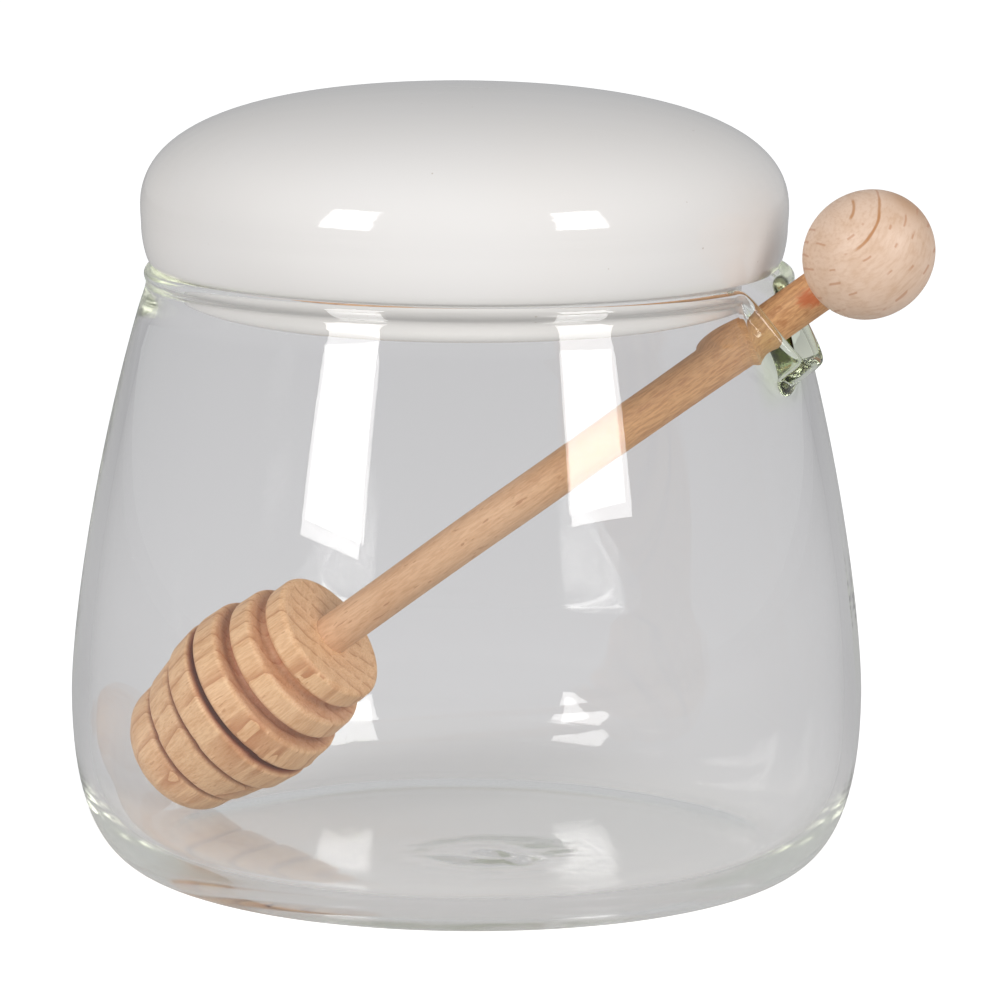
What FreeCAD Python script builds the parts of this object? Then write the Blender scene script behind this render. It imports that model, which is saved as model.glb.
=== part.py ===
"""Honey jar: blown glass body with a dipper notch in its rolled rim, ceramic lid and turned wooden dipper.

Millimetres, +Z up. The origin is the centre of the jar's flat underside, and the notch in the rim faces +X.
"""
import FreeCAD
import Part
import math
import os

Vector = FreeCAD.Vector
Z_AXIS = Vector(0, 0, 1)

# Jar, outside
FOOT_R = 45.5            # flat underside
BELLY_R = 60.0
BELLY_Z = 26.6
RIM_R = 47.65            # middle of the rolled rim
RIM_Z = 90.25
RIM_BEAD = 1.3           # radius of the rolled edge
BEAD_TUCK = 45.0         # how far the bead curls under on the outside, degrees
WALL_LEAN = -17.0        # lean of the wall under the rim, degrees outward from upright
NECK_R = 48.25           # outside of the wall, carried on up to the height of the rim
NECK_START = 0.93        # share of the wall's curve below the rim's own stretch
OUTER_WALL = [(BELLY_R, BELLY_Z), (BELLY_R, 34.6), (57.15, 61.3), (NECK_R, RIM_Z)]     # Bezier poles (r, z)
OUTER_FOOT = [(FOOT_R, 0), (51.8, 0), (BELLY_R, 3.1), (BELLY_R, BELLY_Z)]

# Jar, inside
BELLY_WALL = 2.6
NECK_WALL = 2.1
FLOOR_Z = 3.0
FLOOR_R = 38.0
INNER_BELLY_R = BELLY_R - BELLY_WALL
INNER_WALL = [(INNER_BELLY_R, BELLY_Z), (INNER_BELLY_R, 34.6), (54.8, 60.8), (NECK_R - NECK_WALL, 89.45)]
INNER_FOOT = [(INNER_BELLY_R, BELLY_Z), (INNER_BELLY_R, 7.0), (53.0, FLOOR_Z), (FLOOR_R, FLOOR_Z)]

# Dipper notch, a spout pressed down and out of the soft rim
NOTCH_R = 55.0           # middle of the rolled edge at the notch's lowest point
NOTCH_Z = 80.1
NOTCH_BEAD = 0.95
NOTCH_LEAN = 42.0        # lean of the lip
NOTCH_FLAT = 2.2         # half-angle of the level bottom, degrees
NOTCH_HALF = 11.5        # half-angle from shoulder to shoulder, degrees
POUCH_START = 0.82       # share of the wall's curve left as it is where the wall is drawn out most
POUCH_AT = -1.5          # where that is, degrees about Z
POUCH_HALF = 9.0         # half-angle of the wall drawn out under the notch, degrees

# Pull of the wall's last stretch at its lower and its upper end: outside, then inside
NECK_PULLS = (3.4, 1.0, 1.6, 1.6)
NOTCH_PULLS = (1.6, 3.4, 2.8, 3.0)

# Lid
LID_SHIFT = -0.85        # the lid sits against the side away from the notch
LID_R = 48.6
LID_WIDEST_Z = 97.8
LID_SEAT_R = 46.9        # outside of the flat that rests on the rim
SEAT_GAP = 0.03
LID_SEAT_Z = RIM_Z + RIM_BEAD + SEAT_GAP
LID_TOP_Z = 118.3
LID_ROOF_Z = 113.0       # ceiling of the hollow underside
LID_ROOF_ROUND = 9.0
CROWN_FULLNESS = 5.2     # pole of the crown's curve beyond the lid's radius
SHOULDER_RISE = 3.8      # upright pull of the curve above the widest height
EDGE_DROP = 2.6          # and below it
EDGE_TURN = 0.9
COLLAR_R = 41.8
COLLAR_WALL = 4.3
COLLAR_Z = 84.7
COLLAR_ROUND = 1.6
SEAT_ROUND = 0.8

# Dipper, measured along its handle from the flat face of the head towards the ball
HEAD_FACE = Vector(-22.3, -1.3, 32.9)
TILT = 36.55             # handle above the horizon, degrees
YAW = 1.3                # handle swung in its notch, degrees
HANDLE_HEAD_R = 3.1
HANDLE_BALL_R = 3.25
BALL_AT = 107.0
BALL_R = 9.35
BALL_HALF_LENGTH = 10.0
BALL_FLAT = 9.3          # from the ball's centre to the flat round its bore
BALL_BORE = 11.0
HEAD_BORE = 14.0
HEAD_SKEW = -3.0         # the head's own axis against its bore, degrees, sideways
HEAD_DROOP = 0.7         # and downwards

# Rings of the head: start, end, radius at the start, radius at the end, radius of the groove behind
RINGS = (
    (0.0, 4.1, 10.6, 10.7, 9.1),
    (5.9, 10.3, 12.2, 12.5, 10.4),
    (11.9, 16.9, 13.6, 13.9, 10.0),
    (17.7, 23.2, 13.9, 13.1, 10.8),
    (23.9, 29.6, 12.5, 11.3, 9.6),
    (30.2, 37.3, 10.9, 10.2, 0.0),
)
RING_ROUND = 0.9
GROOVE_ROUND = 0.45      # share of the groove's width
TIP_ROUND = 4.2

# Building
FINE_STEP = 1.1          # degrees between the jar's sections in the notch
WIDE_STEP = 15.0         # and round the plain rim


def blend(a, b, share):
    return a + (b - a) * share


def at(radius, height, degrees):
    """The point at a radius and height in the half-plane at an angle about Z."""
    angle = math.radians(degrees)
    return Vector(radius * math.cos(angle), radius * math.sin(angle), height)


def start_of_bezier(poles, share):
    """The first part of a cubic Bezier given as (r, z) pairs."""
    left, row = [poles[0]], poles
    while len(row) > 1:
        row = [tuple(blend(a, b, share) for a, b in zip(p, q)) for p, q in zip(row, row[1:])]
        left.append(row[0])
    return left


def bezier(poles, degrees=None):
    """Edge along a Bezier whose poles are points, or (r, z) pairs at an angle about Z."""
    curve = Part.BezierCurve()
    curve.setPoles(poles if degrees is None else [at(r, z, degrees) for r, z in poles])
    return curve.toShape()


def notch_depth(degrees):
    """1 at the bottom of the notch, 0 on the level rim, with level ends."""
    u = (abs(degrees) - NOTCH_FLAT) / (NOTCH_HALF - NOTCH_FLAT)
    u = min(max(u, 0.0), 1.0)
    return 1 - u ** 3 * (10 - 15 * u + 6 * u * u)


def rim_edge(degrees):
    """Middle of the rolled edge, which dips and swings out at the notch."""
    share = notch_depth(degrees)
    return at(blend(RIM_R, NOTCH_R, share), blend(RIM_Z, NOTCH_Z, share), degrees)


def jar_section(degrees):
    """Half section of the glass at one angle: up the outside, over the edge and down the inside.

    The wall lies in the half-plane at that angle; its last stretch leaves it, to meet the rolled edge square.
    """
    share = notch_depth(degrees)
    centre = rim_edge(degrees)
    rim_way = (rim_edge(degrees + 0.1) - rim_edge(degrees - 0.1)).normalize()
    lean = math.radians(blend(WALL_LEAN, NOTCH_LEAN, share))
    up = at(math.sin(lean), math.cos(lean), degrees)
    up = (up - rim_way * up.dot(rim_way)).normalize()
    out = rim_way.cross(up)
    half = blend(RIM_BEAD, NOTCH_BEAD, share)
    tuck = math.radians(blend(BEAD_TUCK, 0.0, share))
    pouch = max(0.0, 1 - ((degrees - POUCH_AT) / POUCH_HALF) ** 2)
    start = blend(NECK_START, POUCH_START, pouch ** 0.6)
    pulls = [blend(a, b, share) for a, b in zip(NECK_PULLS, NOTCH_PULLS)]

    def bead(angle):
        """Point and direction on the round of the edge."""
        across, rise = math.cos(angle), math.sin(angle)
        return centre + (out * across + up * rise) * half, up * across - out * rise

    def bead_arc(first, last):
        (p, p_way), (q, q_way) = bead(first), bead(last)
        pull = half * 4 / 3 * math.tan((last - first) / 4)
        return [p, p + p_way * pull, q - q_way * pull, q]

    def neck(wall, low_pull, high_pull, angle, way):
        """Curve from the plain lower wall to the side of the rolled edge."""
        begin, before = (at(r, z, degrees) for r, z in start_of_bezier(wall, start)[:-3:-1])
        end, end_way = bead(angle)
        return [begin, begin + (begin - before).normalize() * low_pull, end - end_way * way * high_pull, end]

    wall_curves = [
        bezier(OUTER_FOOT, degrees),
        bezier(start_of_bezier(OUTER_WALL, start), degrees),
        bezier(neck(OUTER_WALL, pulls[0], pulls[1], -tuck, 1)),
        bezier(bead_arc(-tuck, math.pi / 2)),
        bezier(bead_arc(math.pi / 2, math.pi)),
        bezier(neck(INNER_WALL, pulls[2], pulls[3], math.pi, -1)[::-1]),
        bezier(start_of_bezier(INNER_WALL, start)[::-1], degrees),
        bezier(INNER_FOOT, degrees),
    ]
    return Part.Wire(wall_curves)


def section_angles():
    """Close together through the notch, ever wider apart round the rim, starting opposite the notch."""
    half, step = [0.0], FINE_STEP
    while half[-1] + 1.5 * step < 180:
        half.append(half[-1] + step)
        if half[-1] >= NOTCH_HALF:
            step = min(step * 1.4, WIDE_STEP)
    return [-180] + [-a for a in reversed(half[1:])] + half


def make_jar():
    """Loft round the axis, closed by the flat discs inside the floor and under the foot."""
    skin = Part.makeLoft([jar_section(a) for a in section_angles()], False, False, True)
    uses = [sum(edge.isSame(other) for face in skin.Faces for other in face.Edges) for edge in skin.Edges]
    rings = [edge for edge, count in zip(skin.Edges, uses) if count == 1 and edge.isClosed()]
    shell = Part.makeShell(skin.Faces + [Part.Face(Part.Wire([ring])) for ring in rings])
    shell.sewShape()
    return Part.makeSolid(shell)


def rounded_line(corners):
    """Edges along (r, z, corner radius) rows, with a tangent arc at each rounded corner."""
    edges = []
    points = [at(r, z, 0) for r, z, _ in corners]
    last = points[0]
    for i in range(1, len(points) - 1):
        corner, radius = points[i], corners[i][2]
        to_last = (points[i - 1] - corner).normalize()
        to_next = (points[i + 1] - corner).normalize()
        half = to_last.getAngle(to_next) / 2
        start, end = (corner + way * (radius / math.tan(half)) for way in (to_last, to_next))
        middle = corner + (to_last + to_next).normalize() * (radius / math.sin(half) - radius)
        edges += [Part.makeLine(last, start), Part.Arc(start, middle, end).toShape()]
        last = end
    return edges + [Part.makeLine(last, points[-1])]


def revolve(edges):
    """Solid of an outline that starts and ends on the Z axis."""
    chain = Part.Wire(Part.__sortEdges__(edges))
    ends = [v.Point for v in chain.OrderedVertexes]
    face = Part.Face(Part.Wire(Part.__sortEdges__(chain.Edges + [Part.makeLine(ends[-1], ends[0])])))
    return face.revolve(Vector(0, 0, 0), Z_AXIS, 360)


def make_lid():
    """Thick dome with a rolled edge, a collar that drops into the mouth and a hollow underside."""
    inner_r = COLLAR_R - COLLAR_WALL
    dome = bezier([(0, LID_TOP_Z), (LID_R + CROWN_FULLNESS, LID_TOP_Z),
                   (LID_R, LID_WIDEST_Z + SHOULDER_RISE), (LID_R, LID_WIDEST_Z)], 0)
    edge = bezier([(LID_R, LID_WIDEST_Z), (LID_R, LID_WIDEST_Z - EDGE_DROP), (LID_R - EDGE_TURN, LID_SEAT_Z),
                   (LID_SEAT_R, LID_SEAT_Z)], 0)
    collar = rounded_line([(LID_SEAT_R, LID_SEAT_Z, 0), (COLLAR_R, LID_SEAT_Z, SEAT_ROUND),
                           (COLLAR_R, COLLAR_Z, COLLAR_ROUND), (inner_r, COLLAR_Z, COLLAR_ROUND),
                           (inner_r, LID_SEAT_Z, 0)])
    hollow = bezier([(inner_r, LID_SEAT_Z), (inner_r, LID_ROOF_Z - LID_ROOF_ROUND),
                     (inner_r - LID_ROOF_ROUND, LID_ROOF_Z), (0, LID_ROOF_Z)], 0)
    lid = revolve([dome, edge] + collar + [hollow])
    lid.translate(Vector(LID_SHIFT, 0, 0))
    return lid


def along(yaw, tilt):
    """Placement that turns +Z to a direction, at the point where the handle enters the head."""
    direction = at(math.cos(math.radians(tilt)), math.sin(math.radians(tilt)), yaw)
    return FreeCAD.Placement(HEAD_FACE, FreeCAD.Rotation(Z_AXIS, direction))


def make_handle():
    """Tapered dowel, glued into the head at one end and into the ball at the other."""
    seat = BALL_AT - BALL_FLAT
    start, end = -HEAD_BORE, seat + BALL_BORE
    radii = [blend(HANDLE_HEAD_R, HANDLE_BALL_R, s / seat) for s in (start, end)]
    handle = Part.makeCone(*radii, end - start, Vector(0, 0, start))
    handle.Placement = along(YAW, TILT)
    return handle


def make_head():
    """Turned head: six rings with grooves between them, rounded at the tip."""
    corners = [(0, 0, 0)]
    for i, (start, end, start_r, end_r, floor_r) in enumerate(RINGS):
        corners += [(start_r, -start, RING_ROUND), (end_r, -end, RING_ROUND if floor_r else TIP_ROUND)]
        if floor_r:
            gap = RINGS[i + 1][0] - end
            corners += [(floor_r, -end, gap * GROOVE_ROUND), (floor_r, -end - gap, gap * GROOVE_ROUND)]
    head = revolve(rounded_line(corners + [(0, -RINGS[-1][1], 0)]))
    head.Placement = along(YAW + HEAD_SKEW, TILT + HEAD_DROOP)
    return head


def make_ball():
    """Turned ball, a little longer than wide, with a flat round its bore."""
    centre = Vector(0, 0, BALL_AT)
    oval = Part.Ellipse(centre + Z_AXIS * BALL_HALF_LENGTH, centre + Vector(BALL_R, 0, 0), centre)
    sweep = math.acos(-BALL_FLAT / BALL_HALF_LENGTH)
    side = Part.ArcOfEllipse(oval, 0, sweep).toShape()
    flat = Part.makeLine(oval.value(sweep), centre - Z_AXIS * BALL_FLAT)
    ball = revolve([side, flat])
    ball.Placement = along(YAW, TILT)
    return ball


def save(name, shape):
    solid = shape.Solids[0]
    print(f"{name}: valid {solid.isValid()}, {solid.Volume / 1000:.2f} cm3, {len(solid.Faces)} faces")
    solid.exportStep(f"parts/{name}.step")


if __name__ == "__main__":
    os.makedirs("parts", exist_ok=True)
    handle = make_handle()
    save("jar", make_jar())
    save("lid", make_lid())
    save("dipper_handle", handle)
    save("dipper_head", make_head().cut(handle))
    save("dipper_ball", make_ball().cut(handle))
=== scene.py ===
# Honey jar: blown glass, glazed ceramic lid and a turned beech dipper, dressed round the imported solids.
import bpy
import math
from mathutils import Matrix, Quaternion, Vector, noise
from mathutils.kdtree import KDTree


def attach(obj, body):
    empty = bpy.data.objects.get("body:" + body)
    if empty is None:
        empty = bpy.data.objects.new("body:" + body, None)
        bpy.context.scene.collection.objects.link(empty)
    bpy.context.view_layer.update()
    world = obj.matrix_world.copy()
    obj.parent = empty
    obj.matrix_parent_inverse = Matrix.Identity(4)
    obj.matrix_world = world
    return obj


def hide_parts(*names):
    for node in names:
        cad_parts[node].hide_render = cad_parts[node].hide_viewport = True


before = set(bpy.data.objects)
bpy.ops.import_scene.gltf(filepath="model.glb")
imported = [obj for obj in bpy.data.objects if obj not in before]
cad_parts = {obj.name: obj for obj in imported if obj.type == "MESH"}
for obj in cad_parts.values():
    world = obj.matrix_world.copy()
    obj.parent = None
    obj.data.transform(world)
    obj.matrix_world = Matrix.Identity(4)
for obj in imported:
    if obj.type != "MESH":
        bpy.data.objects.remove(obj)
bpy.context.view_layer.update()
mm = 0.001
zAxis = Vector((0, 0, 1))


def linear(red, green, blue):
    # 0-255 display colour to the linear values that sockets take
    def one(level):
        level /= 255
        return level / 12.92 if level <= 0.04045 else ((level + 0.055) / 1.055) ** 2.4
    return (one(red), one(green), one(blue), 1.0)


def blend(start, end, share):
    return start + (end - start) * share


def nameActive(name):
    thing = bpy.context.object
    thing.name = name
    thing.data.name = name
    return thing


def giveMaterial(thing, material):
    thing.data.materials.clear()
    thing.data.materials.append(material)


class Wire:
    # a shader socket that adds, scales and is raised to a power like a number
    def __init__(self, socket):
        self.socket = socket
        self.tree = socket.id_data

    def make(self, kind, settings=None, sockets=None, out=0):
        node = self.tree.nodes.new(kind)
        for key, value in (settings or {}).items():
            setattr(node, key, value)
        for key, value in (sockets or {}).items():
            if isinstance(value, Wire):
                self.tree.links.new(value.socket, node.inputs[key])
            else:
                node.inputs[key].default_value = value
        return Wire(node.outputs[out])

    def maths(self, operation, *others):
        return self.make('ShaderNodeMath', {'operation': operation}, dict(enumerate((self, *others))))

    def vector(self, operation, *others, out=0):
        sockets = dict(enumerate((self, *others)))
        return self.make('ShaderNodeVectorMath', {'operation': operation}, sockets, out)

    def __add__(self, other):
        return self.maths('ADD', other)

    def __sub__(self, other):
        return self.maths('SUBTRACT', other)

    def __rsub__(self, other):
        return self.make('ShaderNodeMath', {'operation': 'SUBTRACT'}, {0: other, 1: self})

    def __mul__(self, other):
        return self.maths('MULTIPLY', other)

    def __truediv__(self, other):
        return self.maths('DIVIDE', other)

    def __pow__(self, other):
        return self.maths('POWER', other)

    __radd__ = __add__
    __rmul__ = __mul__

    def axis(self, letter):
        return self.make('ShaderNodeSeparateXYZ', {}, {0: self}, 'XYZ'.index(letter))

    def window(self, low, high):
        # 0 below low, 1 above high, smooth between
        return self.make('ShaderNodeMapRange', {'interpolation_type': 'SMOOTHSTEP'},
                         {0: self, 1: low, 2: high, 3: 0.0, 4: 1.0})

    def apart(self, other):
        # how far two values lie from each other
        return (self - other).maths('ABSOLUTE')

    def scaled(self, x, y, z):
        return self.vector('MULTIPLY', (x, y, z))

    def clouds(self, scale, detail=2.0, rough=0.5, warp=0.0):
        sockets = {'Vector': self, 'Scale': scale, 'Detail': detail, 'Roughness': rough, 'Distortion': warp}
        return self.make('ShaderNodeTexNoise', {}, sockets)

    def tint(self, under, over):
        # self is the share of over laid on under
        return self.make('ShaderNodeMix', {'data_type': 'RGBA'}, {0: self, 6: under, 7: over}, 2)


def startMaterial(name):
    # returns the material, its shader node and its object coordinates
    material = bpy.data.materials.new(name)
    material.use_nodes = True
    tree = material.node_tree
    shader = tree.nodes['Principled BSDF']
    place = Wire(tree.nodes.new('ShaderNodeTexCoord').outputs['Object'])
    return material, shader, place


def plug(wire, node, socketName):
    wire.tree.links.new(wire.socket, node.inputs[socketName])


def rayWires(tree, *kinds):
    # what a surface or the sky knows about the ray that meets it
    path = tree.nodes.new('ShaderNodeLightPath')
    return [Wire(path.outputs[kind]) for kind in kinds]


# the camera
view = {
    'aim': Vector((4.44, 1.98, 55.61)) * mm,
    'away': 909.0 * mm,
    'azimuth': 23.69,       # degrees, 0 looks along +Y
    'elevation': 9.53,
    'roll': 0.43,
    'lens': 216.0,
    'clipEnd': 20,
}


def placeCamera():
    turn, lift = math.radians(view['azimuth']), math.radians(view['elevation'])
    back = Vector((math.sin(turn) * math.cos(lift), -math.cos(turn) * math.cos(lift), math.sin(lift)))
    bpy.ops.object.camera_add(location=view['aim'] + back * view['away'])
    camera = bpy.context.object
    camera.name = 'camera'
    camera.data.lens = view['lens']
    camera.data.clip_end = view['clipEnd']
    camera.rotation_mode = 'QUATERNION'
    level = (-back).to_track_quat('-Z', 'Y')
    camera.rotation_quaternion = level @ Quaternion(zAxis, math.radians(view['roll']))
    bpy.context.scene.camera = camera


# the room: floor, sky and two tall soft boxes in front
room = {
    'floorSize': 6.0, 'floorSides': 96, 'floorRough': 0.9,
    'floorDrop': 0.02 * mm,     # the floor lies this much under the foot
    'floorPale': 0.80,
    'floorMirrored': 0.63,      # the floor as the glass mirrors it, in a room that is dim to the sides
    'floorGlow': 0.68,          # what the lens sees on top of the lit floor
    'throughGlow': 0.06,        # the same for what is seen through glass
    'throughTone': (1.0, 0.96, 1.02, 1),
    'sky': (0.97, 0.98, 1.0),
    'skyLevel': 0.45,
    'throughSky': 0.66,         # the sky seen through glass
    'throughDim': 0.45,         # the share of that lost once the glass has mirrored it as well
    'boxTurns': (-41.2, 42.2),  # degrees from the lens, left and right
    'boxAway': 1.3,
    'boxWide': 0.44,
    'boxLows': (0.27, 0.31),    # heights of the lower edges
    'boxHigh': 0.99,
    'boxRolls': (-0.5, -2.8),   # degrees
    'boxPower': 7.8,
    'boxColour': (1.0, 0.985, 0.97),
}


def makeFloor():
    bpy.ops.object.select_all(action='DESELECT')
    bpy.ops.mesh.primitive_circle_add(vertices=room['floorSides'], radius=room['floorSize'] / 2,
                                      fill_type='NGON', location=(0, 0, -room['floorDrop']))
    floor = nameActive('floor')
    material, shader, place = startMaterial('paleFloor')
    shader.inputs['Roughness'].default_value = room['floorRough']
    shader.inputs['Specular IOR Level'].default_value = 0.0
    seen, through, glossy, folded = rayWires(
        place.tree, 'Is Camera Ray', 'Is Transmission Ray', 'Is Glossy Ray', 'Glossy Depth')
    glow = place.make('ShaderNodeEmission', {}, {
        'Color': through.tint((1, 1, 1, 1), room['throughTone']),
        'Strength': seen * room['floorGlow'] + (through + glossy) * room['throughGlow'],
    })
    mirrored = folded.maths('MINIMUM', 1.0)
    plug(mirrored * (room['floorMirrored'] - room['floorPale']) + room['floorPale'], shader, 'Base Color')
    both = place.make('ShaderNodeAddShader', {}, {0: Wire(shader.outputs[0]), 1: glow})
    plug(both, place.tree.nodes['Material Output'], 'Surface')
    giveMaterial(floor, material)


def makeSky():
    world = bpy.data.worlds.new('studio')
    bpy.context.scene.world = world
    world.use_nodes = True
    backdrop = world.node_tree.nodes['Background']
    seen, through, folded = rayWires(world.node_tree, 'Is Camera Ray', 'Is Transmission Ray', 'Glossy Depth')
    straight = through * (1 - folded.maths('MINIMUM', 1.0) * room['throughDim'])
    level = (1 - seen - straight) * room['skyLevel'] + seen + straight * room['throughSky']
    plug(level, backdrop, 'Strength')
    plug(seen.tint((*room['sky'], 1), (1, 1, 1, 1)), backdrop, 'Color')


def makeSoftBoxes():
    sides = zip(('softBoxLeft', 'softBoxRight'), room['boxTurns'], room['boxLows'], room['boxRolls'])
    for name, turn, low, roll in sides:
        angle = math.radians(view['azimuth'] + turn)
        towards = Vector((math.sin(angle), -math.cos(angle), 0))
        place = towards * room['boxAway'] + zAxis * ((low + room['boxHigh']) / 2)
        bpy.ops.object.light_add(type='AREA', location=place)
        light = bpy.context.object
        light.name = name
        light.data.shape = 'RECTANGLE'
        light.data.size = room['boxWide']
        light.data.size_y = room['boxHigh'] - low
        light.data.energy = room['boxPower']
        light.data.color = room['boxColour']
        light.rotation_mode = 'QUATERNION'
        level = (-towards).to_track_quat('-Z', 'Y')
        light.rotation_quaternion = Quaternion(towards, math.radians(roll)) @ level


# the jar, in millimetres and degrees; the poles of its Bezier curves are (radius, height)
glass = {
    'footR': 45.5, 'bellyR': 60.0, 'bellyZ': 26.6, 'rimR': 47.65, 'rimZ': 90.25,
    'bellyWall': 2.6, 'neckWall': 2.1, 'floorZ': 3.0, 'floorR': 38.0,
    'neckR': 48.25,                                 # outside of the wall, carried on up to the rim
    'shoulder': (57.15, 61.3), 'shoulderInside': (54.8, 60.8), 'neckInsideZ': 89.45,
    'bellyRise': 34.6, 'bellyFall': 3.1, 'insideFall': 7.0,     # heights of the poles by the belly
    'footPull': 51.8, 'floorPull': 53.0,                        # radii of the poles by the foot
    'bead': 1.3, 'lean': -17.0, 'beadTuck': 45.0,   # the rolled edge: half its thickness, and its turn
    'neckStart': 0.93,                              # the share of the wall that is below the neck
    'neckPull': (3.4, 1.0), 'insidePull': (1.6, 1.6),
    'notchR': 55.0, 'notchZ': 80.1, 'notchBead': 0.95, 'notchLean': 42.0,
    'notchPull': (1.6, 3.4), 'notchInside': (2.8, 3.0), 'notchFlat': 2.2, 'notchHalf': 11.5,
    'pouchStart': 0.82, 'pouchAt': -1.5, 'pouchHalf': 9.0, 'pouchShape': 0.6,
    'fineSteps': 110, 'coarseSteps': 250, 'fineHalf': 14.0,     # steps round the jar, finer at the notch
    'footSteps': 6, 'curveSteps': 26, 'wallSteps': 22, 'beadSteps': 24,
    'waver': 0.02, 'waverLength': 16.0, 'waverTall': 0.6,       # unevenness of the blown wall
    'waverAbove': 8.0, 'waverInside': 7,            # only above this height, and another pattern inside
    'rippleAt': (11.0, -10.0), 'rippleR': 19.0, 'rippleDeep': 0.50,
    'rippleTurn': 3.0, 'rippleWave': 0.45, 'rippleFold': 1.6, 'rippleFlaw': 0.5, 'flawScale': 0.3,
    'tintDensity': 2.6, 'tint': (0.64, 0.72, 0.37, 1), 'ior': 1.5,
    'spoutTint': (0.90, 0.96, 0.82, 1),             # the worked glass of the spout, and where it sets in
    'spoutHeight': (72.0, 78.0), 'spoutReach': (7.0, 12.0),
    'floorRough': 0.08,                             # only the floor, up to this height and this far out
    'roughHeight': (4.0, 9.0), 'roughReach': (42.0, 49.0),
    'shadowPass': (0.985, 0.985, 0.98, 1),          # light let through to what stands inside
}


def curve(*pairs):
    return [Vector(pair) for pair in pairs]


def at(r, z, degrees):
    angle = math.radians(degrees)
    return Vector((r * math.cos(angle), r * math.sin(angle), z))


def splitBezier(poles, share):
    # the first part of a curve, up to a share of it
    left, row = [poles[0]], poles
    while len(row) > 1:
        row = [p.lerp(q, share) for p, q in zip(row, row[1:])]
        left.append(row[0])
    return left


def alongBezier(poles, count):
    return [splitBezier(poles, step / count)[-1] for step in range(1, count + 1)]


def notchDepth(degrees):
    # 1 in the flat middle of the notch, 0 on the plain rim
    u = (abs(degrees) - glass['notchFlat']) / (glass['notchHalf'] - glass['notchFlat'])
    u = min(max(u, 0.0), 1.0)
    return 1 - u ** 3 * (10 - 15 * u + 6 * u * u)


def rimEdge(degrees):
    # middle of the rolled edge, which dips and swings out at the notch
    share = notchDepth(degrees)
    r, z = blend(glass['rimR'], glass['notchR'], share), blend(glass['rimZ'], glass['notchZ'], share)
    return at(r, z, degrees)


def jarSection(degrees):
    # outside from the middle of the foot up, over the rolled edge and down the inside
    g = glass
    share = notchDepth(degrees)
    centre = rimEdge(degrees)
    along = (rimEdge(degrees + 0.1) - rimEdge(degrees - 0.1)).normalized()
    lean = math.radians(blend(g['lean'], g['notchLean'], share))
    up = at(math.sin(lean), math.cos(lean), degrees)
    up = (up - along * up.dot(along)).normalized()
    out = along.cross(up)
    half = blend(g['bead'], g['notchBead'], share)
    tuck = math.radians(g['beadTuck']) * (1 - share)
    pouch = max(0.0, 1 - ((degrees - g['pouchAt']) / g['pouchHalf']) ** 2)
    start = blend(g['neckStart'], g['pouchStart'], pouch ** g['pouchShape'])

    def bead(angle):
        return centre + (out * math.cos(angle) + up * math.sin(angle)) * half

    def neck(wall, pulls, angle, way):
        # from the fixed lower wall to the side of the rolled edge
        begin, before = (at(*point, degrees) for point in splitBezier(wall, start)[-1:-3:-1])
        arrive = (up * math.cos(angle) - out * math.sin(angle)) * way
        end = bead(angle)
        return [begin, begin + (begin - before).normalized() * pulls[0], end - arrive * pulls[1], end]

    outerR, innerR = g['bellyR'], g['bellyR'] - g['bellyWall']
    outerWall = curve((outerR, g['bellyZ']), (outerR, g['bellyRise']), g['shoulder'], (g['neckR'], g['rimZ']))
    innerWall = curve((innerR, g['bellyZ']), (innerR, g['bellyRise']), g['shoulderInside'],
                      (g['neckR'] - g['neckWall'], g['neckInsideZ']))
    outerFoot = curve((g['footR'], 0), (g['footPull'], 0), (outerR, g['bellyFall']), (outerR, g['bellyZ']))
    innerFoot = curve((innerR, g['bellyZ']), (innerR, g['insideFall']), (g['floorPull'], g['floorZ']),
                      (g['floorR'], g['floorZ']))
    plain, pressed = g['neckPull'] + g['insidePull'], g['notchPull'] + g['notchInside']
    pulls = [blend(a, b, share) for a, b in zip(plain, pressed)]
    outerNeck = neck(outerWall, pulls[:2], -tuck, 1)
    innerNeck = neck(innerWall, pulls[2:], math.pi, -1)
    walls, curves = g['wallSteps'], g['curveSteps']
    sweep = (math.pi + tuck) / g['beadSteps']
    over = [bead(-tuck + sweep * k) for k in range(1, g['beadSteps'] + 1)]
    flat = [(g['footR'] * k / g['footSteps'], 0) for k in range(1, g['footSteps'] + 1)]
    flat += alongBezier(outerFoot, curves) + alongBezier(splitBezier(outerWall, start), walls)
    below = alongBezier(splitBezier(innerWall, start), walls)[-2::-1] + [innerWall[0]]
    below += alongBezier(innerFoot, curves)
    below += [(g['floorR'] * (1 - k / curves), g['floorZ']) for k in range(1, curves + 1)]
    points = [at(0, 0, 0)] + [at(*point, degrees) for point in flat] + alongBezier(outerNeck, walls)
    points += over + alongBezier(innerNeck, walls)[-2::-1] + [innerNeck[0]]
    return points + [at(*point, degrees) for point in below]


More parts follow.
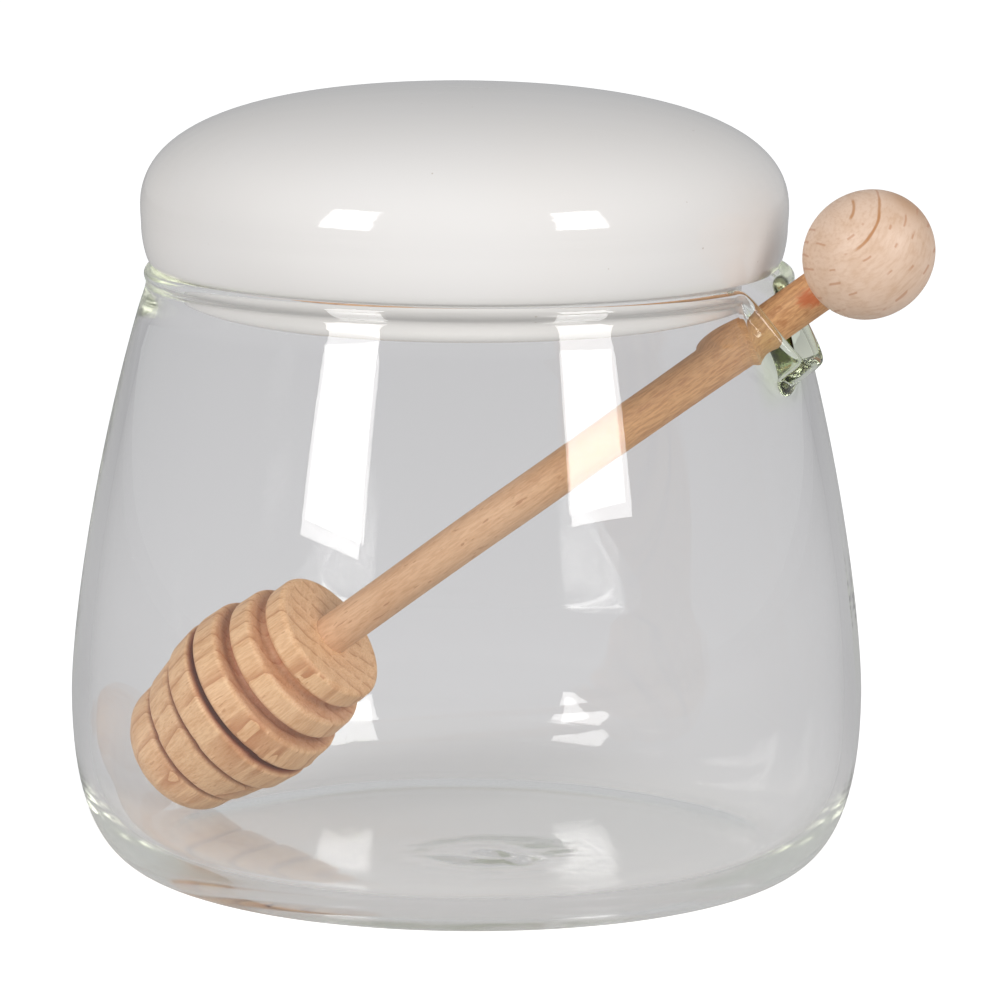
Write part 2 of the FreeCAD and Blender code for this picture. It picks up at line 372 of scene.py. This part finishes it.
def turnProfile(name, points, sweeps):
    # the profile is drawn point by point, then spun about Z; sweeps are (degrees, steps) in turn
    bpy.ops.object.select_all(action='DESELECT')
    bpy.ops.mesh.primitive_plane_add(size=mm)
    thing = nameActive(name)
    bpy.ops.object.mode_set(mode='EDIT')
    bpy.ops.mesh.select_all(action='SELECT')
    bpy.ops.mesh.merge(type='CENTER')
    first = Vector((points[0][0], 0, points[0][1])) * mm
    bpy.ops.transform.translate(value=first)
    for (r0, z0), (r1, z1) in zip(points, points[1:]):
        move = Vector((r1 - r0, 0, z1 - z0)) * mm
        bpy.ops.mesh.extrude_region_move(TRANSFORM_OT_translate={'value': move})
    bpy.ops.mesh.select_all(action='SELECT')
    for degrees, steps in sweeps:
        bpy.ops.mesh.spin(steps=steps, angle=math.radians(degrees), center=(0, 0, 0), axis=(0, 0, 1))
    bpy.ops.mesh.select_all(action='SELECT')
    bpy.ops.mesh.remove_doubles(threshold=0.002 * mm)
    bpy.ops.mesh.normals_make_consistent(inside=False)
    bpy.ops.mesh.faces_shade_smooth()
    bpy.ops.object.mode_set(mode='OBJECT')
    return thing


def ripple(x, y):
    # the swirl left in the floor where the glass was cut off hot
    g = glass
    across = Vector((x - g['rippleAt'][0], y - g['rippleAt'][1]))
    away = across.length / g['rippleR']
    if away > 1:
        return 0.0
    swirl = across.angle_signed(Vector((1, 0)), 0) + away * g['rippleTurn']
    wave = math.sin(across.length * g['rippleWave'] + g['rippleFold'] * math.sin(swirl))
    wave += g['rippleFlaw'] * noise.noise(Vector((x, y, g['floorZ'])) * g['flawScale'])
    return g['rippleDeep'] * (1 - away * away) ** 2 * wave


def makeJar():
    g = glass
    plain = [(math.hypot(p.x, p.y), p.z) for p in jarSection(180)]
    sweeps = [(2 * g['fineHalf'], g['fineSteps']), (360 - 2 * g['fineHalf'], g['coarseSteps'])]
    jar = turnProfile('glassJar', plain, sweeps)
    stations = KDTree(len(plain))
    for number, (r, z) in enumerate(plain):
        stations.insert((r, 0, z), number)
    stations.balance()
    sections = {}
    for vertex in jar.data.vertices:
        # a vertex of the plain jar goes to the same point of the section at its own angle
        x, y, z = vertex.co / mm
        r = math.hypot(x, y)
        degrees = math.degrees(math.atan2(y, x)) + g['fineHalf']    # so the notch gets the fine steps
        degrees = round((degrees + 180) % 360 - 180, 2)
        if degrees not in sections:
            sections[degrees] = jarSection(degrees)
        number = stations.find((r, 0, z))[1]
        place = sections[degrees][number].copy()
        inside = number >= len(plain) // 2
        if place.z > g['waverAbove']:
            spot = Vector((x, y, z * g['waverTall'])) / g['waverLength'] + zAxis * (g['waverInside'] * inside)
            place += at(g['waver'] * noise.noise(spot), 0, degrees)
        if inside and r < g['floorR']:
            place.z += ripple(place.x, place.y)
        vertex.co = place * mm
    giveMaterial(jar, blownGlass())
    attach(jar, 'root')
    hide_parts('jar')
    print('glass jar', len(jar.data.vertices), 'vertices')


def blownGlass():
    g = glass
    material, shader, place = startMaterial('blownGlass')
    local = place.scaled(1 / mm, 1 / mm, 1 / mm)
    across, height = local.scaled(1, 1, 0), local.axis('Z')
    out = across.vector('LENGTH', out=1)
    spout = across.vector('DISTANCE', (g['notchR'], 0, 0), out=1)
    worked = height.window(*g['spoutHeight']) * (1 - spout.window(*g['spoutReach']))
    plug(worked.tint((1, 1, 1, 1), g['spoutTint']), shader, 'Base Color')
    uneven = (1 - height.window(*g['roughHeight'])) * (1 - out.window(*g['roughReach']))
    plug(uneven * g['floorRough'], shader, 'Roughness')
    shader.inputs['IOR'].default_value = g['ior']
    shader.inputs['Transmission Weight'].default_value = 1.0
    clear = place.make('ShaderNodeBsdfTransparent', {}, {'Color': g['shadowPass']})
    shade, bounced = rayWires(place.tree, 'Is Shadow Ray', 'Is Diffuse Ray')
    passing = shade.maths('MAXIMUM', bounced)       # light on its way to what stands inside
    both = place.make('ShaderNodeMixShader', {}, {0: passing, 1: Wire(shader.outputs[0]), 2: clear})
    depth = place.make('ShaderNodeVolumeAbsorption', {}, {'Color': g['tint'], 'Density': g['tintDensity']})
    output = place.tree.nodes['Material Output']
    plug(both, output, 'Surface')
    plug(depth, output, 'Volume')
    return material


# the lid
glaze = {
    'white': linear(236, 234, 232), 'thin': linear(229, 221, 211), 'speck': linear(176, 160, 145),
    'thinScale': 18.0, 'thinFrom': (0.35, 0.75), 'thinShare': 0.25,
    'speckScale': 900.0, 'speckFrom': (0.80, 0.83), 'speckShare': 0.5,
    'rough': 0.04, 'roughSpread': 0.05, 'roughScale': 60.0, 'ior': 1.5,
    'waves': {'Strength': 0.12, 'Distance': 0.4 * mm}, 'waveScale': 45.0,
}


def lidGlaze():
    g = glaze
    material, shader, place = startMaterial('whiteGlaze')
    thin = place.clouds(g['thinScale'], 3.0).window(*g['thinFrom'])
    specks = place.clouds(g['speckScale'], 1.0).window(*g['speckFrom'])
    colour = (thin * g['thinShare']).tint(g['white'], g['thin'])
    colour = (specks * g['speckShare']).tint(colour, g['speck'])
    plug(colour, shader, 'Base Color')
    plug(place.clouds(g['roughScale']) * g['roughSpread'] + g['rough'], shader, 'Roughness')
    shader.inputs['IOR'].default_value = g['ior']
    bump = place.make('ShaderNodeBump', {}, {**g['waves'], 'Height': place.clouds(g['waveScale'], 1.0)})
    plug(bump, shader, 'Normal')
    return material


# the dipper: where it lies, and what its three pieces share; patterns are in millimetres
dipper = {
    'face': Vector((-22.3, -1.3, 32.9)) * mm,       # the middle of the head's end, where the handle goes in
    'tilt': 36.55, 'yaw': 1.3,
    'ior': 1.45, 'roughSpread': 0.2,
    'pores': {'Strength': 0.2, 'Distance': 0.1 * mm},
    'fineCells': (3.4, 3.4, 0.45), 'bandCells': (0.55, 0.55, 0.05), 'strokeCells': (2.3, 2.3, 0.50),
    'fineFrom': (0.35, 0.68), 'bandFrom': (0.4, 0.7),       # noise levels where a pattern sets in and is full
    'ringCells': (0.10, 0.10, 0.03), 'ringWander': 1.5,
}


def wayOf(yaw, tilt):
    turn, lift = math.radians(yaw), math.radians(tilt)
    return Vector((math.cos(lift) * math.cos(turn), math.cos(lift) * math.sin(turn), math.sin(lift)))


def alongPiece(place, origin, way):
    # object coordinates turned into millimetres along (z) and across (x, y) a piece
    turn = zAxis.rotation_difference(way).to_euler()
    return place.make('ShaderNodeMapping', {'vector_type': 'TEXTURE'},
                      {'Vector': place, 'Location': origin, 'Rotation': turn, 'Scale': (mm, mm, mm)})


def growth(local, pith, spacing):
    # 0 just after a growth line, 1 on it; the pith is (x, y) in millimetres
    x, y = local.axis('X') - pith[0], local.axis('Y') - pith[1]
    wander = local.scaled(*dipper['ringCells']).clouds(1.0) * dipper['ringWander']
    rings = (x * x + y * y) ** 0.5 / spacing + wander
    return rings.maths('FRACT')


def fibres(local, seed):
    # fine fibres, soft bands and short strokes, all along the grain
    grain = local.vector('ADD', (seed, seed * 2, seed * 3))
    fine = grain.scaled(*dipper['fineCells']).clouds(1.0, 3.0, 0.6, 0.1)
    bands = grain.scaled(*dipper['bandCells']).clouds(1.0, 2.0, 0.5, 0.4)
    strokes = grain.scaled(*dipper['strokeCells']).clouds(1.0, 1.0, 0.3)
    return fine, bands, strokes


def figure(fine, bands, fineShare):
    # the grain's colour: a share from the fine fibres and the rest from the soft bands
    return fine.window(*dipper['fineFrom']) * fineShare + bands.window(*dipper['bandFrom']) * (1 - fineShare)


def finishWood(place, shader, colour, fine, rough):
    bump = place.make('ShaderNodeBump', {}, {**dipper['pores'], 'Height': fine})
    plug(bump, shader, 'Normal')
    plug(fine * dipper['roughSpread'] + rough, shader, 'Roughness')
    plug(colour, shader, 'Base Color')
    shader.inputs['IOR'].default_value = dipper['ior']


head = {
    'pale': linear(248, 205, 160), 'deep': linear(222, 168, 119), 'stroke': linear(192, 122, 76),
    # the groove colour: a real burn line from turning, deepened with painted shade
    'burnAndShadeColour': linear(160, 84, 50), 'rough': 0.4, 'seed': 0.0,
    'skew': -3.0, 'droop': 0.7,     # the grain runs a little off the handle's line, degrees
    'fineShare': 0.6, 'strokeFrom': (0.70, 0.75), 'strokeShare': 0.5,
    'pith': (-15.0, 25.0), 'ringGap': 2.6, 'ringSharp': 7, 'ringFrom': (0.38, 0.50), 'ringShare': 0.8,
    'burnAndShadeReach': (0.4, 1.7),        # half widths from a groove's middle where the burn and the painted shade fade and end
    # each groove: its place, half its width, and how far its bottom is burnt and darkened with painted shade
    'grooves': ((5.0, 0.9, 0.5), (11.1, 0.8, 0.7), (17.3, 0.65, 1.0), (23.55, 0.5, 0.8), (29.9, 0.45, 0.7)),
}


def headWood():
    h = head
    material, shader, place = startMaterial('beechHead')
    local = alongPiece(place, dipper['face'], wayOf(dipper['yaw'] + h['skew'], dipper['tilt'] + h['droop']))
    fine, bands, strokes = fibres(local, h['seed'])
    colour = figure(fine, bands, h['fineShare']).tint(h['pale'], h['deep'])
    rings = growth(local, h['pith'], h['ringGap']) ** h['ringSharp']
    colour = (rings * bands.window(*h['ringFrom']) * h['ringShare']).tint(colour, h['stroke'])
    colour = (strokes.window(*h['strokeFrom']) * h['strokeShare']).tint(colour, h['stroke'])
    down = local.axis('Z') * -1.0
    # each groove's bottom is darkened, partly as a real burn line and partly as painted shade in the recess
    for middle, half, dark in h['grooves']:
        burnAndShade = 1 - down.apart(middle).window(*(half * reach for reach in h['burnAndShadeReach']))
        colour = (burnAndShade * dark).tint(colour, h['burnAndShadeColour'])
    finishWood(place, shader, colour, fine, h['rough'])
    return material


handle = {
    'pale': linear(230, 188, 150), 'deep': linear(206, 158, 118), 'stroke': linear(176, 118, 80),
    'handled': linear(228, 175, 120), 'handledDeep': linear(190, 132, 84), 'oiled': linear(176, 112, 64),
    'fineShare': 0.6, 'strokeFrom': (0.69, 0.74), 'strokeShare': 0.6,
    'handledUp': (36.0, 60.0), 'handledShare': 0.85, 'handledFine': 0.8,    # up from the head
    'oiledUp': (80.0, 88.0), 'oiledFrom': (0.46, 0.68), 'oiledShare': 0.7,
    'stain': linear(200, 100, 54), 'stainAt': (0.4, -3.1, 96.4), 'stainReach': (3.2, 4.6), 'stainShare': 0.8,
    'mottleCells': (0.9, 0.9, 0.4), 'ragged': 5.0, 'rough': 0.4, 'seed': 11.0,
}


def handleWood():
    h = handle
    material, shader, place = startMaterial('beechHandle')
    local = alongPiece(place, dipper['face'], wayOf(dipper['yaw'], dipper['tilt']))
    fine, bands, strokes = fibres(local, h['seed'])
    up = local.axis('Z')
    colour = figure(fine, bands, h['fineShare']).tint(h['pale'], h['deep'])
    colour = (strokes.window(*h['strokeFrom']) * h['strokeShare']).tint(colour, h['stroke'])
    mottle = local.scaled(*h['mottleCells']).clouds(1.0, 4.0, 0.65, 0.8)
    handled = figure(fine, bands, h['handledFine']).tint(h['handled'], h['handledDeep'])
    oiled = mottle.window(*h['oiledFrom']) * up.window(*h['oiledUp'])
    handled = (oiled * h['oiledShare']).tint(handled, h['oiled'])
    colour = (up.window(*h['handledUp']) * h['handledShare']).tint(colour, handled)
    spot = local.vector('DISTANCE', h['stainAt'], out=1) + mottle * h['ragged']
    colour = ((1 - spot.window(*h['stainReach'])) * h['stainShare']).tint(colour, h['stain'])
    finishWood(place, shader, colour, fine, h['rough'])
    return material


ball = {
    'pale': linear(232, 203, 180), 'deep': linear(214, 178, 148), 'stroke': linear(200, 150, 118),
    'arc': linear(188, 132, 84), 'patch': linear(190, 142, 98),
    'softCells': (0.22, 0.22, 0.12), 'softFrom': (0.4, 0.7), 'softShare': 0.4, 'fineShare': 0.5,
    'patchAt': (11.0, 5.4, 2.6), 'patchReach': (3.5, 7.5), 'patchShare': 0.6, 'ragged': 4.0,
    'pith': Vector((57.2, -0.9, 103.3)) * mm,       # the growth rings lie round this point
    'turn': -66.31, 'lift': 9.5,                    # along this way, degrees
    'wander': 0.9, 'wanderCells': 0.25,             # how far a ring strays
    'fineCells': (1.8, 6.0, 1.2), 'dashCells': (7.3, 0.9, 0.15),    # out from the pith, round it, along it
    'ringGap': 1.9, 'ringThin': (0.06, 0.24), 'ringShare': 0.75, 'dashFrom': (0.56, 0.62),
    'arcs': ((3.8, -7, 38), (7.6, -34, 33)),        # the two plain growth lines: radius, from and to
    'arcThin': (0.08, 0.34), 'arcFade': 5, 'arcShare': 0.4, 'arcSoft': 0.9,
    'rough': 0.32,
}


def ballWood():
    b = ball
    material, shader, place = startMaterial('beechBall')
    local = alongPiece(place, b['pith'], wayOf(b['turn'], b['lift']))
    soft = local.scaled(*b['softCells']).clouds(1.0, 3.0, 0.55, 0.3)
    x, y, deep = (local.axis(letter) for letter in 'XYZ')
    away = (x * x + y * y) ** 0.5 + (local.clouds(b['wanderCells'], 1.0) - 0.5) * b['wander']
    turned = y.maths('ARCTAN2', x)
    around = place.make('ShaderNodeCombineXYZ', {}, {0: away, 1: turned, 2: deep})
    fine = around.scaled(*b['fineCells']).clouds(1.0, 3.0, 0.6)
    grain = soft.window(*b['softFrom']) * b['softShare'] + fine.window(*b['softFrom']) * b['fineShare']
    colour = grain.tint(b['pale'], b['deep'])
    patch = local.vector('DISTANCE', b['patchAt'], out=1) + fine * b['ragged']
    colour = ((1 - patch.window(*b['patchReach'])) * b['patchShare']).tint(colour, b['patch'])
    ring = away / b['ringGap']
    line = ring.maths('ROUND')
    around = place.make('ShaderNodeCombineXYZ', {}, {0: line, 1: turned * line, 2: deep})
    dash = around.scaled(*b['dashCells']).clouds(1.0, 1.0, 0.4).window(*b['dashFrom'])
    thin = 1 - (ring.apart(line) * b['ringGap']).window(*b['ringThin'])
    colour = (thin * dash * b['ringShare']).tint(colour, b['stroke'])
    degrees, fade = turned * math.degrees(1), b['arcFade']
    for radius, start, end in b['arcs']:
        span = degrees.window(start - fade, start + fade) * (1 - degrees.window(end - fade, end + fade))
        thin = 1 - away.apart(radius).window(*b['arcThin'])
        colour = (thin * span * (soft * b['arcSoft'] + b['arcShare'])).tint(colour, b['arc'])
    finishWood(place, shader, colour, fine, b['rough'])
    return material


# everything in its place
bpy.context.scene.view_settings.view_transform = 'Standard'
cycles = bpy.context.scene.cycles
bounces = 120       # light runs far round inside the rolled rim
cycles.max_bounces = cycles.glossy_bounces = cycles.transmission_bounces = bounces
placeCamera()
makeFloor()
makeSky()
makeSoftBoxes()
print('room ready')
makeJar()
giveMaterial(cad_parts['lid'], lidGlaze())
giveMaterial(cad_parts['dipper_head'], headWood())
giveMaterial(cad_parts['dipper_handle'], handleWood())
giveMaterial(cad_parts['dipper_ball'], ballWood())
print('lid and dipper dressed')
